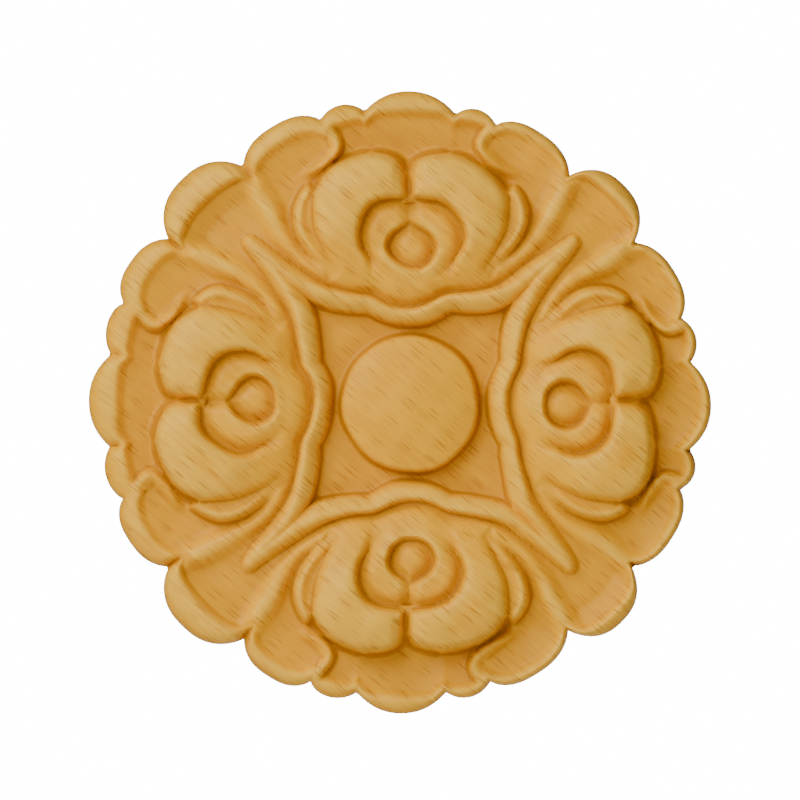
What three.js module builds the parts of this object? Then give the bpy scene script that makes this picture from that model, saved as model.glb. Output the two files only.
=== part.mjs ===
import * as THREE from 'three';

// A round wooden rosette, carved in one piece. It stands upright, in millimetres: the flat back
// lies on Y = 0, the carved front faces -Y and Z points up. The origin is on the back, behind the
// middle of the button.

// Driving dimensions, in millimetres

const RADIUS = 60;
const OUTLINE_RIGHT = -2.04;
const OUTLINE_UP = 0.3;
const EDGE_HEIGHT = 4;

// Heights over the back, in millimetres

const FIELD_HEIGHT = 5;
const FAN_HEIGHT = 5.2;
const SPOON_HEIGHT = 6.1;
const CORNER_HEIGHT = 6.4;
const GROOVE_HEIGHT = 7.6;
const RIM_HEIGHT = 7.7;
const BUTTON_EDGE_HEIGHT = 7.4;
const BUTTON_CROWN = 3.6;
const WELL_HEIGHT = 8.2;
const BUD_EDGE_HEIGHT = 8.5;
const BUD_CROWN = 1.7;
const CREASE_HEIGHT = 9.2;
const BODY_HEIGHT = 10.6;

// The plan of the carving is in hundredths of the radius. The same eighth of it is turned and
// mirrored all round: V runs outwards along the middle of a flower and U runs across it, from 0 on
// the middle line to V on the diagonal.

const SHARE = RADIUS / 100;
const CURVE_STEPS = 6;

// A smooth line through points of the plan.
function line(...points) {
  const curve = new THREE.SplineCurve(points.map(([u, v]) => new THREE.Vector2(u, v)));
  return curve.getPoints(CURVE_STEPS * (points.length - 1));
}

// A straight stretch of a closed form.
function corners(...points) {
  return points.map(([u, v]) => new THREE.Vector2(u, v));
}

// Crest of a rib, from the middle of a flower to the tip of the stem on the diagonal.
const RIB = line(
  [-1.9, 28.4], [0, 28.4], [4.5, 28.9], [9, 30.5], [12.9, 32.4], [18.1, 32.9], [24.5, 34],
  [29.7, 35.5], [33.9, 37.9], [37.7, 40.5], [42.8, 44.4], [47.7, 48.4], [51.6, 51.8],
);
const RIB_CREST = [[0, 9.7], [0.17, 9.8], [0.33, 10], [0.58, 10.4], [0.8, 10.2], [0.93, 9.8], [1, 9.3]];
const RIB_WIDTH = [[0, 3], [0.17, 3], [0.33, 2.8], [0.5, 3.4], [0.75, 3.7], [0.9, 3.3], [1, 2.5]];
const RIB_LEAN = { height: 1.2, from: 0.75, to: 0.5 };
const RIB_SHOULDER = 2.2;
const RIB_ROUNDNESS = 2;
const RIB_WALL_SLOPE = 2.5;
const RIB_SIDES = [0.6, -0.6];
const RIB_SOFTNESS = 0.2;

// Groove on the flower's side of a rib and of the stem.
const GROOVE = line(
  [-1.9, 31.9], [0, 31.9], [3.9, 32.3], [8.1, 33.5], [12.3, 35.6], [15.5, 35.8], [20, 36.5],
  [25.8, 38.1], [31.6, 40.6], [36.8, 44.2], [41, 48.1], [45.2, 52.3], [49.4, 56.1],
);
const GROOVE_WIDTH = 3.2;
const GROOVE_ROUNDNESS = 1.7;
const GROOVE_FADE = [1, 0.85];

// Free edges of a big petal: its top and the side along the narrow leaf.
const PETAL_TOP = line(
  [0, 76.1], [1, 77.6], [2.9, 79.2], [7.1, 80.8], [12.9, 81.3], [19.4, 80], [24.5, 77.4],
  [28.4, 73.9], [31.3, 70],
);
const PETAL_SIDE = line(
  [31.3, 70.3], [31.9, 65.8], [31.8, 61.3], [31, 55.8], [28.7, 50.3], [25.5, 44.8], [20, 38.1],
);

// Outline of the flower's right half: petal top, side leaf, and the foot along the rib.
const FLOWER = [
  ...PETAL_TOP,
  ...line(
    [33.5, 71], [36.1, 68.4], [38.2, 64.2], [38.5, 59.4], [37.1, 54.5], [34.5, 50],
    [31.6, 46.8], [29, 44.2], [27.4, 41.3],
  ),
  ...line(
    [27.1, 38.5], [25.8, 38.1], [20, 36.5], [15.5, 35.8], [12.3, 35.6], [8.1, 33.5],
    [3.9, 32.3], [0, 31.9],
  ),
];
const FLOWER_WALL = 3.2;
const FLOWER_WALL_ROUNDNESS = 2.2;
const FOOT_DROP = { height: 2.4, from: 53, to: 40.5 };
const FOOT_SIDE = [33, 26];
const FOOT_WIDTH = 8.4;
const CREASE_FOOT = { height: 1.4, from: 51.5, to: 39.5 };

// Big petal, bounded by the side leaf, the ring of small petals and the notch at the middle.
const PETAL = [
  ...corners([0.1, 85], [31.3, 85]),
  ...PETAL_SIDE,
  ...line(
    [12.3, 34.8], [12.9, 41.9], [13.9, 47.4], [15.5, 50.6], [16.1, 54.8], [14.8, 59.4],
    [11.9, 63.2], [8.1, 65.2], [3.9, 66], [0.6, 66.8],
  ),
  ...corners([0.1, 76], [0.1, 85]),
];
const PETAL_SHOULDER = 2.6;
const PETAL_SHOULDER_ROUNDNESS = 1.7;
const PETAL_LIFT = { height: 1, from: 38.7, to: 57.5 };
const PETAL_WALL = 4.2;
const PETAL_CUSHION = { height: 2.4, from: 38, to: 61 };
const CUSHION_WIDTH = 12;
const CUSHION_EDGE_WIDTH = 1.8;
const CUSHION_EDGE_ROUNDNESS = 1.5;

// Soft valley between the two big petals, with a low saddle at its foot.
const SPLIT_SIDE = [8, 2];
const SPLIT_START = [64, 69];
const SPLIT_WIDENING = 4;
const SADDLE = { height: 0.9, width: 4, middle: 66.4, length: 2.4 };

// Crest of the narrow leaf beside the big petal.
const LEAF = line(
  [33.9, 69.4], [36.1, 66.1], [36.6, 61.9], [36.3, 58.1], [35, 54.2], [32.6, 50], [29, 45.5], [25.2, 41.6],
);
const LEAF_CREST = [[0, 10.2], [0.12, 10.7], [0.5, 10.9], [0.8, 10.8], [1, 10.6]];
const LEAF_DROP = 0.8;
const LEAF_ROUNDNESS = 1.8;
const LEAF_WIDTH = 2.75;
const LEAF_REACH = 1.1;
const LEAF_START = 19;

// Ring of two small petals, the well inside it and the bud in the well.
const RING = line(
  [0, 65.2], [3.9, 65.6], [8.1, 65.2], [11.9, 63.2], [14.8, 59.4], [16.1, 54.8], [15.5, 50.6],
  [13.9, 47.4], [11, 43.2], [6.5, 40], [0, 38.7],
);
const RING_RISE = { height: 2.1, from: 38, to: 49 };
const RING_WALL = 4.8;
const RING_NOTCH = { height: 1.5, from: 55, to: 60.5 };
const RING_NOTCH_WIDTH = 3.9;
const RING_NOTCH_ROUNDNESS = 1.4;
const WELL = line(
  [0, 59.7], [3.2, 57.6], [6.5, 55.2], [8.5, 51.9], [8.4, 48.4], [6.5, 45.2], [3.5, 43.2], [0, 42.6],
);
const WELL_WALL = [-0.3, 2];
const BUD = line(
  [0, 59], [2.3, 56.5], [4.5, 54.4], [6.1, 51.6], [6.3, 48.7], [4.8, 45.8], [2.6, 44.2], [0, 43.7],
);
const BUD_WIDTH = 5;

// Inner end of the spoon-shaped outer leaf, from the outline round to the foot of the flower.
const SPOON_END = line(
  [40.3, 122.6], [29.4, 92.3], [26.7, 90], [23.7, 87.2], [21.9, 84.3], [22, 81.1], [24.4, 78.1],
  [28.2, 74.7], [32.4, 71], [31.6, 64.5], [29, 54.8], [19.4, 45.2], [0, 40.6], [-12.9, 39.4],
);
const SPOON_WALL = [-1, 1];
const SPOON_LIP = { height: 2, from: 71.5, to: 77 };
const SPOON_LIP_WIDTH = [1.6, 4.8];
const SPOON_INWARDS = { height: 0.4, from: 77, to: 61 };
const SPOON_FOOT = { height: 3.2, from: 52, to: 42 };

// Crest between the spoon-shaped leaf and the corner leaf on the diagonal.
const CREST = line(
  [69, 98.7], [52.3, 74.5], [48.7, 67.7], [46.1, 63.5], [43.2, 58.1], [40.3, 53.2], [37.4, 48.7],
  [34.5, 45.2], [31, 42.3], [25.8, 40.3], [19.4, 39],
);
const CREST_TOP = [[45, 9.7], [58, 9.4], [68, 9.1], [77, 8.8], [84, 8.5], [91, 7.8]];
const CREST_WIDTH = [5.5, 0.5];
const CREST_END = [97, 88];
const CORNER_WALL = [-1.3, 1.3];
const CORNER_INWARDS = { height: 1.3, from: 87, to: 61 };

// The low round button, a cap of a wider curve.
const BUTTON_RADIUS = 22.3;
const BUTTON_WALL = 1.3;
const BUTTON_OVERHANG = 1.6;
const BUTTON_CURVE = BUTTON_RADIUS + BUTTON_OVERHANG;

// Lobes of the outline over half a quarter turn. Angles are in degrees from the middle of a flower.
const DIAGONAL_ANGLE = 45;
const MIDDLE_END = 8.9;
const SMALL_END = 17.8;
const OUTER_END = 35;
const CORNER_END = 2 * DIAGONAL_ANGLE - OUTER_END;
const NOTCH = 94.5;
const CORNER_NOTCH = 91.3;
const MIDDLE_RISE = 5.8;
const SMALL_RISE = 3.2;
const OUTER_RISE = 5.1;
const CORNER_RISE = 9.3;
const LOBES = [
  {
    start: -MIDDLE_END, end: MIDDLE_END, first: NOTCH, last: NOTCH,
    rise: MIDDLE_RISE, squareness: 2.2, fullness: 1,
  },
  {
    start: MIDDLE_END, end: SMALL_END, first: NOTCH, last: NOTCH,
    rise: SMALL_RISE, squareness: 2, fullness: 0.85,
  },
  {
    start: SMALL_END, end: OUTER_END, first: NOTCH, last: CORNER_NOTCH,
    rise: OUTER_RISE, squareness: 2.8, fullness: 0.9,
  },
  {
    start: OUTER_END, end: CORNER_END, first: CORNER_NOTCH, last: CORNER_NOTCH,
    rise: CORNER_RISE, squareness: 2.6, fullness: 0.9,
  },
];
const ROLL_ROUNDNESS = 2.2;

// Rim, where the front rolls over to the edge: an even curve across the fan, and at the leaves a
// line that lies a little inside the outline.
const SMALL_LOBE = [7.2, 10.6];
const FAN_RIM = { middle: 95.4, small: 94 };
const SPOON_RIM_INSET = 3.2;
const RIM_NARROWING = { share: 0.35, sharpness: 5 };
const CORNER_RIM = { inset: 6.2, line: 93.5, straightness: 0.6, least: 3, softness: 1 };
const RIM_LEAST_INSET = 1.8;
const RIM_SOFTNESS = 0.8;

// Wall between the hollows and the rim, and the creases that run inwards from the notches.
const RIM_RISE = { spoon: 0.6, corner: 1.2 };
const RIM_WALL = { middle: 13, leaves: 12, corner: 8 };
const RIM_STEP_START = 0.72;
const RIM_RAMP = 0.4;
const MIDDLE_CREASE = { depth: 1.4, width: 0.9, roundness: 1.4, from: 92, to: 96 };
const CORNER_CREASE = { depth: 1.6, width: 1.6, roundness: 2, from: 84.5, to: 91.5 };

// Steps and slopes

const { clamp, lerp, degToRad, radToDeg } = THREE.MathUtils;

// Goes smoothly from 0 to 1 between two values, in either direction.
function ease(from, to, x) {
  const t = clamp((x - from) / (to - from), 0, 1);
  return t * t * (3 - 2 * t);
}

// A height that comes in smoothly between two places.
function rise({ height, from, to }, x) {
  return height * ease(from, to, x);
}

// Rises from 0 at an edge to 1 from the width inwards, steepest at the edge.
function swell(gap, width, power = 2) {
  return 1 - (1 - clamp(gap / width, 0, 1)) ** power;
}

// The larger of two heights, with the corner between them rounded.
function softMax(a, b, soft) {
  const t = clamp(0.5 + (a - b) / (2 * soft), 0, 1);
  return lerp(b, a, t) + soft * t * (1 - t);
}

function softMin(a, b, soft) {
  return -softMax(-a, -b, soft);
}

// Straight steps between pairs of a place and a value.
function along(pairs, x) {
  const next = pairs.findIndex(([place]) => place > x);
  if (next === 0) {
    return pairs[0][1];
  }
  if (next < 0) {
    return pairs.at(-1)[1];
  }
  const [start, before] = pairs[next - 1];
  const [end, after] = pairs[next];
  return lerp(before, after, (x - start) / (end - start));
}

// Distance from a place to a line, the share of the way along the line, and the side: 1 on the left.
function nearest(u, v, points) {
  let best = Infinity;
  let share = 0;
  let side = 1;
  for (let i = 0; i < points.length - 1; i += 1) {
    const from = points[i];
    const du = points[i + 1].x - from.x;
    const dv = points[i + 1].y - from.y;
    const wu = u - from.x;
    const wv = v - from.y;
    const t = clamp((wu * du + wv * dv) / (du * du + dv * dv || 1), 0, 1);
    const gap = Math.hypot(wu - t * du, wv - t * dv);
    if (gap < best) {
      best = gap;
      share = (i + t) / (points.length - 1);
      side = Math.sign(du * wv - dv * wu);
    }
  }
  return { gap: best, share, side };
}

// Distance inside a form whose right-hand edge is the line, negative outside it.
function inside(u, v, points) {
  let within = false;
  for (let i = 0; i < points.length - 1; i += 1) {
    const a = points[i];
    const b = points[i + 1];
    if (a.y > v !== b.y > v && u < a.x + ((v - a.y) * (b.x - a.x)) / (b.y - a.y)) {
      within = !within;
    }
  }
  const { gap } = nearest(u, v, points);
  return within ? gap : -gap;
}

// Outline

// Radius of the lobed line at an angle from the middle of a flower, and the place across the lobe.
function lobed(angle) {
  const lobe = LOBES.find(({ end }) => angle <= end) ?? LOBES.at(-1);
  const place = (2 * angle - lobe.start - lobe.end) / (lobe.end - lobe.start);
  const arch = Math.max(1 - Math.abs(place) ** lobe.squareness, 0) ** lobe.fullness;
  const base = lerp(lobe.first, lobe.last, (place + 1) / 2);
  return { radius: base + lobe.rise * arch, place };
}

// The place in the repeated eighth that a point of the front belongs to.
function fold(x, z) {
  const u = Math.min(Math.abs(x), Math.abs(z));
  const v = Math.max(Math.abs(x), Math.abs(z));
  const angle = radToDeg(Math.atan2(u, v));
  return { u, v, angle, r: Math.hypot(x, z), ...lobed(angle) };
}

// The outline lies off the middle of the carving, by a shift in plan units.
const SHIFT = new THREE.Vector2(OUTLINE_RIGHT / SHARE, OUTLINE_UP / SHARE);

function outlineRadius(x, z, radius, shift) {
  const r = Math.hypot(x, z) || 1;
  return radius + (shift.x * x + shift.y * z) / r;
}

// Relief

// Hollows of the fan, the spoon-shaped leaf and the corner leaf, with the crest between the leaves.
function leafHollows({ u, v, r }) {
  const end = nearest(u, v, SPOON_END);
  const crest = nearest(u, v, CREST);
  const intoSpoon = end.gap * end.side;
  const intoCorner = crest.gap * crest.side;
  const outwards = (u + v) / Math.SQRT2;
  const spoon = SPOON_HEIGHT + rise(SPOON_INWARDS, v) + rise(SPOON_FOOT, v);
  const corner = CORNER_HEIGHT + rise(CORNER_INWARDS, outwards);
  const onSpoon = ease(...SPOON_WALL, intoSpoon);
  const onCorner = ease(...CORNER_WALL, intoCorner);
  const lip = rise(SPOON_LIP, v) * (1 - ease(...SPOON_LIP_WIDTH, intoSpoon)) * onSpoon;
  let height = lerp(FAN_HEIGHT, spoon, onSpoon) + lip;
  height = lerp(height, corner, onCorner);
  const missing = Math.max(along(CREST_TOP, r) - height, 0);
  height += missing * ease(...CREST_WIDTH, crest.gap) * ease(...CREST_END, r);
  return { height, onSpoon, onCorner, crestGap: crest.gap };
}

// Radius at which the hollows end and the rim begins to roll over to the edge.
function rimRadius({ angle, radius, place }, onSpoon, onCorner, edge) {
  const even = lerp(FAN_RIM.middle, FAN_RIM.small, ease(...SMALL_LOBE, angle));
  const fan = softMin(even, radius - RIM_LEAST_INSET, RIM_SOFTNESS);
  const narrowing = RIM_NARROWING.share * Math.abs(place) ** RIM_NARROWING.sharpness;
  const round = lerp(fan, radius - SPOON_RIM_INSET * (1 - narrowing), onSpoon);
  const straight = CORNER_RIM.line / Math.cos(degToRad(DIAGONAL_ANGLE - angle));
  const bent = lerp(radius - CORNER_RIM.inset, straight, CORNER_RIM.straightness);
  const corner = softMin(bent, radius - CORNER_RIM.least, CORNER_RIM.softness);
  return softMin(lerp(round, corner, onCorner), edge - RIM_LEAST_INSET, RIM_SOFTNESS);
}

// Depth of a crease that starts at a notch of the outline.
function crease({ depth, width, roundness, from, to }, gap, r) {
  return depth * Math.exp(-((gap / width) ** roundness)) * ease(from, to, r);
}

// Rise of the hollows to the rim, and the creases at the notches of the outline.
function rims({ angle, r }, hollow, rim) {
  const { onSpoon, onCorner, crestGap } = hollow;
  const top = RIM_HEIGHT + RIM_RISE.spoon * onSpoon + RIM_RISE.corner * onCorner;
  const wall = lerp(RIM_WALL.middle, RIM_WALL.leaves, ease(...SMALL_LOBE, angle));
  const t = clamp(1 - (rim - r) / lerp(wall, RIM_WALL.corner, onCorner), 0, 1);
  const missing = Math.max(top - hollow.height, 0) * lerp(ease(RIM_STEP_START, 1, t), t, RIM_RAMP);
  const middleCrease = crease(MIDDLE_CREASE, Math.abs(angle - MIDDLE_END), r);
  const cornerCrease = crease(CORNER_CREASE, crestGap, r);
  return hollow.height + missing - middleCrease - cornerCrease;
}

// Groove beside the rib and the stem.
function groove(height, { u, v }) {
  const { gap, share } = nearest(u, v, GROOVE);
  const depth = Math.max(height - GROOVE_HEIGHT, 0) * ease(...GROOVE_FADE, share);
  return height - depth * (1 - swell(gap, GROOVE_WIDTH, GROOVE_ROUNDNESS));
}

// Two big petals, the narrow leaves beside them, the ring of small petals and the bud.
function flower(ground, { u, v }) {
  const inFlower = inside(u, v, FLOWER);
  if (inFlower <= 0) {
    return ground;
  }
  const inPetal = inside(u, v, PETAL);
  const inRing = inside(u, v, RING);
  const inWell = inside(u, v, WELL);
  const inBud = inside(u, v, BUD);
  const offSaddle = (u / SADDLE.width) ** 2 + ((v - SADDLE.middle) / SADDLE.length) ** 2;
  const low = CREASE_HEIGHT + rise(CREASE_FOOT, v) + SADDLE.height * Math.exp(-offSaddle);
  let top = low;
  if (inPetal > 0) {
    const split = ease(...SPLIT_SIDE, u) * ease(...SPLIT_START, v);
    const shoulder = PETAL_SHOULDER + SPLIT_WIDENING * split;
    const inwards = Math.min(nearest(u, v, PETAL_SIDE).gap, nearest(u, v, PETAL_TOP).gap);
    const edge = swell(inPetal, CUSHION_EDGE_WIDTH, CUSHION_EDGE_ROUNDNESS);
    const cushion = edge * swell(inwards, CUSHION_WIDTH);
    top += (BODY_HEIGHT - low) * swell(inPetal, shoulder, PETAL_SHOULDER_ROUNDNESS);
    top += rise(PETAL_LIFT, v) * swell(inPetal, PETAL_WALL) + rise(PETAL_CUSHION, v) * cushion;
  }
  if (u > LEAF_START) {
    const { gap, share } = nearest(u, v, LEAF);
    const across = clamp(gap / LEAF_WIDTH, 0, LEAF_REACH);
    top = Math.max(top, along(LEAF_CREST, share) - LEAF_DROP * across ** LEAF_ROUNDNESS);
  }
  if (inRing > 0) {
    const notch = Math.max(1 - u / RING_NOTCH_WIDTH, 0) ** RING_NOTCH_ROUNDNESS;
    top = low + rise(RING_RISE, v) * swell(inRing, RING_WALL) - rise(RING_NOTCH, v) * notch;
  }
  const bed = inBud > 0 ? BUD_EDGE_HEIGHT + BUD_CROWN * swell(inBud, BUD_WIDTH) : WELL_HEIGHT;
  top = lerp(top, bed, ease(...WELL_WALL, inWell));
  top -= rise(FOOT_DROP, v) * (1 - swell(inFlower, FOOT_WIDTH)) * ease(...FOOT_SIDE, u);
  return lerp(ground, top, swell(inFlower, FLOWER_WALL, FLOWER_WALL_ROUNDNESS));
}

// The four-sided field in the middle and the ribs round it.
function ribs(height, { u, v }) {
  const { gap, share, side } = nearest(u, v, RIB);
  const lean = rise(RIB_LEAN, share);
  const outwards = gap * side - lean;
  const width = along(RIB_WIDTH, share) - lean * Math.sign(outwards);
  const across = Math.abs(outwards);
  const shoulder = RIB_SHOULDER * Math.min(across / width, 1) ** RIB_ROUNDNESS;
  const rib = along(RIB_CREST, share) - shoulder - RIB_WALL_SLOPE * Math.max(across - width, 0);
  const ground = lerp(height, FIELD_HEIGHT, ease(...RIB_SIDES, gap * side));
  return softMax(ground, rib, RIB_SOFTNESS);
}

// The low round button in the middle of the field.
function button(height, { r }) {
  if (r >= BUTTON_RADIUS) {
    return height;
  }
  const top = BUTTON_EDGE_HEIGHT + BUTTON_CROWN * Math.sqrt(1 - (r / BUTTON_CURVE) ** 2);
  return lerp(FIELD_HEIGHT, top, swell(BUTTON_RADIUS - r, BUTTON_WALL));
}

// Height of the front over the back at a place in plan units.
function heightAt(x, z, shift = SHIFT) {
  const place = fold(x, z);
  const edge = outlineRadius(x, z, place.radius, shift);
  const hollow = leafHollows(place);
  const rim = rimRadius(place, hollow.onSpoon, hollow.onCorner, edge);
  let height = rims(place, hollow, rim);
  height = groove(height, place);
  height = flower(height, place);
  height = ribs(height, place);
  height = button(height, place);
  const inwards = clamp((edge - place.r) / (edge - rim), 0, 1);
  return lerp(EDGE_HEIGHT, height, Math.sqrt(1 - (1 - inwards) ** ROLL_ROUNDNESS));
}

// Faces of the front, laid so that their edges follow the carving

const FACES_PER_EIGHTH = 1100;
const NET_STAGES = [0.3, 0.5, 0.7, 0.85, 1];
const EASING_ROUNDS = 5;
const FIRST_MOVE = 0.3;
const MOVE_DIRECTIONS = 8;
const SMALLEST_ANGLE = degToRad(11);
const SHORTEST_SIDE = 0.8;
const SHEET_STEP = 0.25;
const SHEET_REACH = 104;
const SAMPLES_PER_SIDE = 6;
const SEAM_WIDTH = 2;
const SEAM_WEIGHT = 6;
const RING_RADII = [24, 48, 72];
const EDGE_ANGLES = [
  0, 3, 6, MIDDLE_END, 11, 13.4, 15.6, SMALL_END, 20.5, 24, 28, 31.5, OUTER_END, 37.5, 40, 42.5,
  DIAGONAL_ANGLE,
];
const POINT_LIMIT = 65536;
const CLEARLY_LONGER = 1.001;
const WORTH_TURNING = 0.99;
const WORTH_SLIDING = 0.995;

// Heights of the carving before its outline is shifted, read from a fine square sheet.
function heightSheet() {
  const size = Math.ceil(SHEET_REACH / SHEET_STEP) + 2;
  const heights = new Float64Array(size * size);
  const unshifted = new THREE.Vector2();
  for (let row = 0; row < size; row += 1) {
    for (let column = 0; column <= row; column += 1) {
      const height = heightAt(column * SHEET_STEP, row * SHEET_STEP, unshifted);
      heights[row * size + column] = height;
      heights[column * size + row] = height;
    }
  }
  return (u, v) => {
    const column = Math.floor(u / SHEET_STEP);
    const row = Math.floor(v / SHEET_STEP);
    const across = u / SHEET_STEP - column;
    const up = v / SHEET_STEP - row;
    const at = row * size + column;
    const low = lerp(heights[at], heights[at + 1], across);
    const high = lerp(heights[at + size], heights[at + size + 1], across);
    return lerp(low, high, up);
  };
}

// Shares of a triangle's three corners, spread evenly over it.
function evenShares(perSide) {
  const shares = [];
  for (let i = 0; i < perSide; i += 1) {
    for (let j = 0; j < perSide - i; j += 1) {
      const a = (i + 1 / 3) / perSide;
      const b = (j + 1 / 3) / perSide;
      shares.push([a, b, 1 - a - b]);
    }
  }
  return shares;
}

const SAMPLES = evenShares(SAMPLES_PER_SIDE);

// A net of triangles over the repeated eighth.
class Net {
  constructor() {
    this.surface = heightSheet();
    this.points = [];
    this.faces = new Set();
    this.byEdge = new Map();
  }

  key(a, b) {
    return Math.min(a, b) * POINT_LIMIT + Math.max(a, b);
  }

  // A point keeps the directions in which it may slide: none on the outline.
  addPoint(u, v, slides, onOutline = false) {
    this.points.push({ u, v, height: this.surface(u, v), slides, onOutline, faces: new Set() });
    return this.points.length - 1;
  }

  addOutlinePoint(angle) {
    const { radius } = lobed(angle);
    const turn = degToRad(angle);
    return this.addPoint(radius * Math.sin(turn), radius * Math.cos(turn), [], true);
  }

  length([a, b]) {
    return Math.hypot(this.points[a].u - this.points[b].u, this.points[a].v - this.points[b].v);
  }

  // Volume between a flat face and the carving, counted more where the copies of the eighth meet.
  misfit(corners) {
    const [p, q, r] = corners.map((i) => this.points[i]);
    const area = ((q.u - p.u) * (r.v - p.v) - (q.v - p.v) * (r.u - p.u)) / 2;
    let sum = 0;
    for (const [a, b, c] of SAMPLES) {
      const u = a * p.u + b * q.u + c * r.u;
      const v = a * p.v + b * q.v + c * r.v;
      const gap = this.surface(u, v) - a * p.height - b * q.height - c * r.height;
      const seam = Math.max(1 - Math.min(u, v - u) / SEAM_WIDTH, 0);
      sum += Math.abs(gap) * (1 + SEAM_WEIGHT * seam);
    }
    return (area * sum) / SAMPLES.length;
  }

  // Smallest angle of a triangle, negative when it is turned over.
  smallestAngle(corners) {
    const p = corners.map((i) => this.points[i]);
    const angles = p.map((at, i) => {
      const next = p[(i + 1) % 3];
      const last = p[(i + 2) % 3];
      const cross = (next.u - at.u) * (last.v - at.v) - (next.v - at.v) * (last.u - at.u);
      const dot = (next.u - at.u) * (last.u - at.u) + (next.v - at.v) * (last.v - at.v);
      return Math.atan2(cross, dot);
    });
    return Math.min(...angles);
  }

  sides([a, b, c]) {
    return [[a, b], [b, c], [c, a]];
  }

  measure(face) {
    const sides = this.sides(face.corners);
    face.longest = sides.reduce((x, y) => (this.length(y) > this.length(x) ? y : x));
    face.size = this.length(face.longest);
    face.misfit = this.misfit(face.corners);
    face.angle = this.smallestAngle(face.corners);
  }

  addFace(...corners) {
    const face = { corners };
    this.measure(face);
    this.faces.add(face);
    corners.forEach((i) => this.points[i].faces.add(face));
    for (const [a, b] of this.sides(corners)) {
      const key = this.key(a, b);
      this.byEdge.set(key, [...(this.byEdge.get(key) ?? []), face]);
    }
  }

  removeFace(face) {
    this.faces.delete(face);
    face.corners.forEach((i) => this.points[i].faces.delete(face));
    for (const [a, b] of this.sides(face.corners)) {
      const key = this.key(a, b);
      const left = this.byEdge.get(key).filter((other) => other !== face);
      if (left.length) {
        this.byEdge.set(key, left);
      } else {
        this.byEdge.delete(key);
      }
    }
  }

  // Middle of a side: inside the eighth, on one of its straight sides or on the lobed line.
  addMiddle(a, b, alone) {
    const from = this.points[a];
    const to = this.points[b];
    const u = (from.u + to.u) / 2;
    const v = (from.v + to.v) / 2;
    if (!alone) {
      return this.addPoint(u, v, ALL_WAYS);
    }
    if (from.onOutline && to.onOutline) {
      return this.addOutlinePoint(radToDeg(Math.atan2(from.u, from.v) + Math.atan2(to.u, to.v)) / 2);
    }
    return u === 0 ? this.addPoint(0, v, UP_AND_DOWN) : this.addPoint(v, v, ALONG_DIAGONAL);
  }

  splitEdge([a, b]) {
    const faces = this.byEdge.get(this.key(a, b));
    const middle = this.addMiddle(a, b, faces.length === 1);
    for (const face of faces) {
      this.removeFace(face);
      const [start, end] = this.sides(face.corners).find((side) => this.key(...side) === this.key(a, b));
      const tip = face.corners.find((i) => i !== start && i !== end);
      this.addFace(start, middle, tip);
      this.addFace(middle, end, tip);
    }
  }

  // Splits the longest side near a face, so that no face grows thin.
  refine(face) {
    const other = this.byEdge.get(this.key(...face.longest)).find((each) => each !== face);
    if (other && other.size > face.size * CLEARLY_LONGER) {
      this.refine(other);
    } else {
      this.splitEdge(face.longest);
    }
  }

  // Turns each side between two faces where the other diagonal follows the carving better.
  turnEdges() {
    for (const [key, pair] of [...this.byEdge]) {
      if (pair.length !== 2 || this.byEdge.get(key) !== pair) {
        continue;
      }
      const [one, two] = pair;
      const c = one.corners.find((i) => !two.corners.includes(i));
      const d = two.corners.find((i) => !one.corners.includes(i));
      const at = one.corners.indexOf(c);
      const a = one.corners[(at + 1) % 3];
      const b = one.corners[(at + 2) % 3];
      const turned = [[c, a, d], [d, b, c]];
      const angle = Math.min(...turned.map((corners) => this.smallestAngle(corners)));
      const limit = Math.min(SMALLEST_ANGLE, one.angle, two.angle);
      if (angle <= Math.max(limit, 0) || this.byEdge.has(this.key(c, d))) {
        continue;
      }
      const misfit = this.misfit(turned[0]) + this.misfit(turned[1]);
      if (misfit < WORTH_TURNING * (one.misfit + two.misfit)) {
        this.removeFace(one);
        this.removeFace(two);
        turned.forEach((corners) => this.addFace(...corners));
      }
    }
  }

  // Slides each point a short way where that brings its faces closer to the carving.
  slidePoints(share) {
    for (const point of this.points) {
      const faces = [...point.faces];
      const { u, v, height } = point;
      const reach = (share * faces.reduce((sum, face) => sum + face.size, 0)) / faces.length;
      let least = WORTH_SLIDING * faces.reduce((sum, face) => sum + face.misfit, 0);
      let best = { u, v, height };
      for (const [du, dv] of point.slides) {
        point.u = u + du * reach;
        point.v = v + dv * reach;
        point.height = this.surface(point.u, point.v);
        const wideEnough = faces.every(
          (face) => this.smallestAngle(face.corners) >= Math.min(SMALLEST_ANGLE, face.angle),
        );
        if (wideEnough) {
          const misfit = faces.reduce((sum, face) => sum + this.misfit(face.corners), 0);
          if (misfit < least) {
            least = misfit;
            best = { u: point.u, v: point.v, height: point.height };
          }
        }
      }
      Object.assign(point, best);
      faces.forEach((face) => this.measure(face));
    }
  }

  ease() {
    for (let round = 0; round < EASING_ROUNDS; round += 1) {
      this.turnEdges();
      this.slidePoints(FIRST_MOVE / (round + 1));
    }
    this.turnEdges();
  }
}

const ALL_WAYS = Array.from({ length: MOVE_DIRECTIONS }, (_, i) => {
  const turn = (2 * Math.PI * i) / MOVE_DIRECTIONS;
  return [Math.cos(turn), Math.sin(turn)];
});
const UP_AND_DOWN = [[0, 1], [0, -1]];
const ALONG_DIAGONAL = [[Math.SQRT1_2, Math.SQRT1_2], [-Math.SQRT1_2, -Math.SQRT1_2]];

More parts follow.
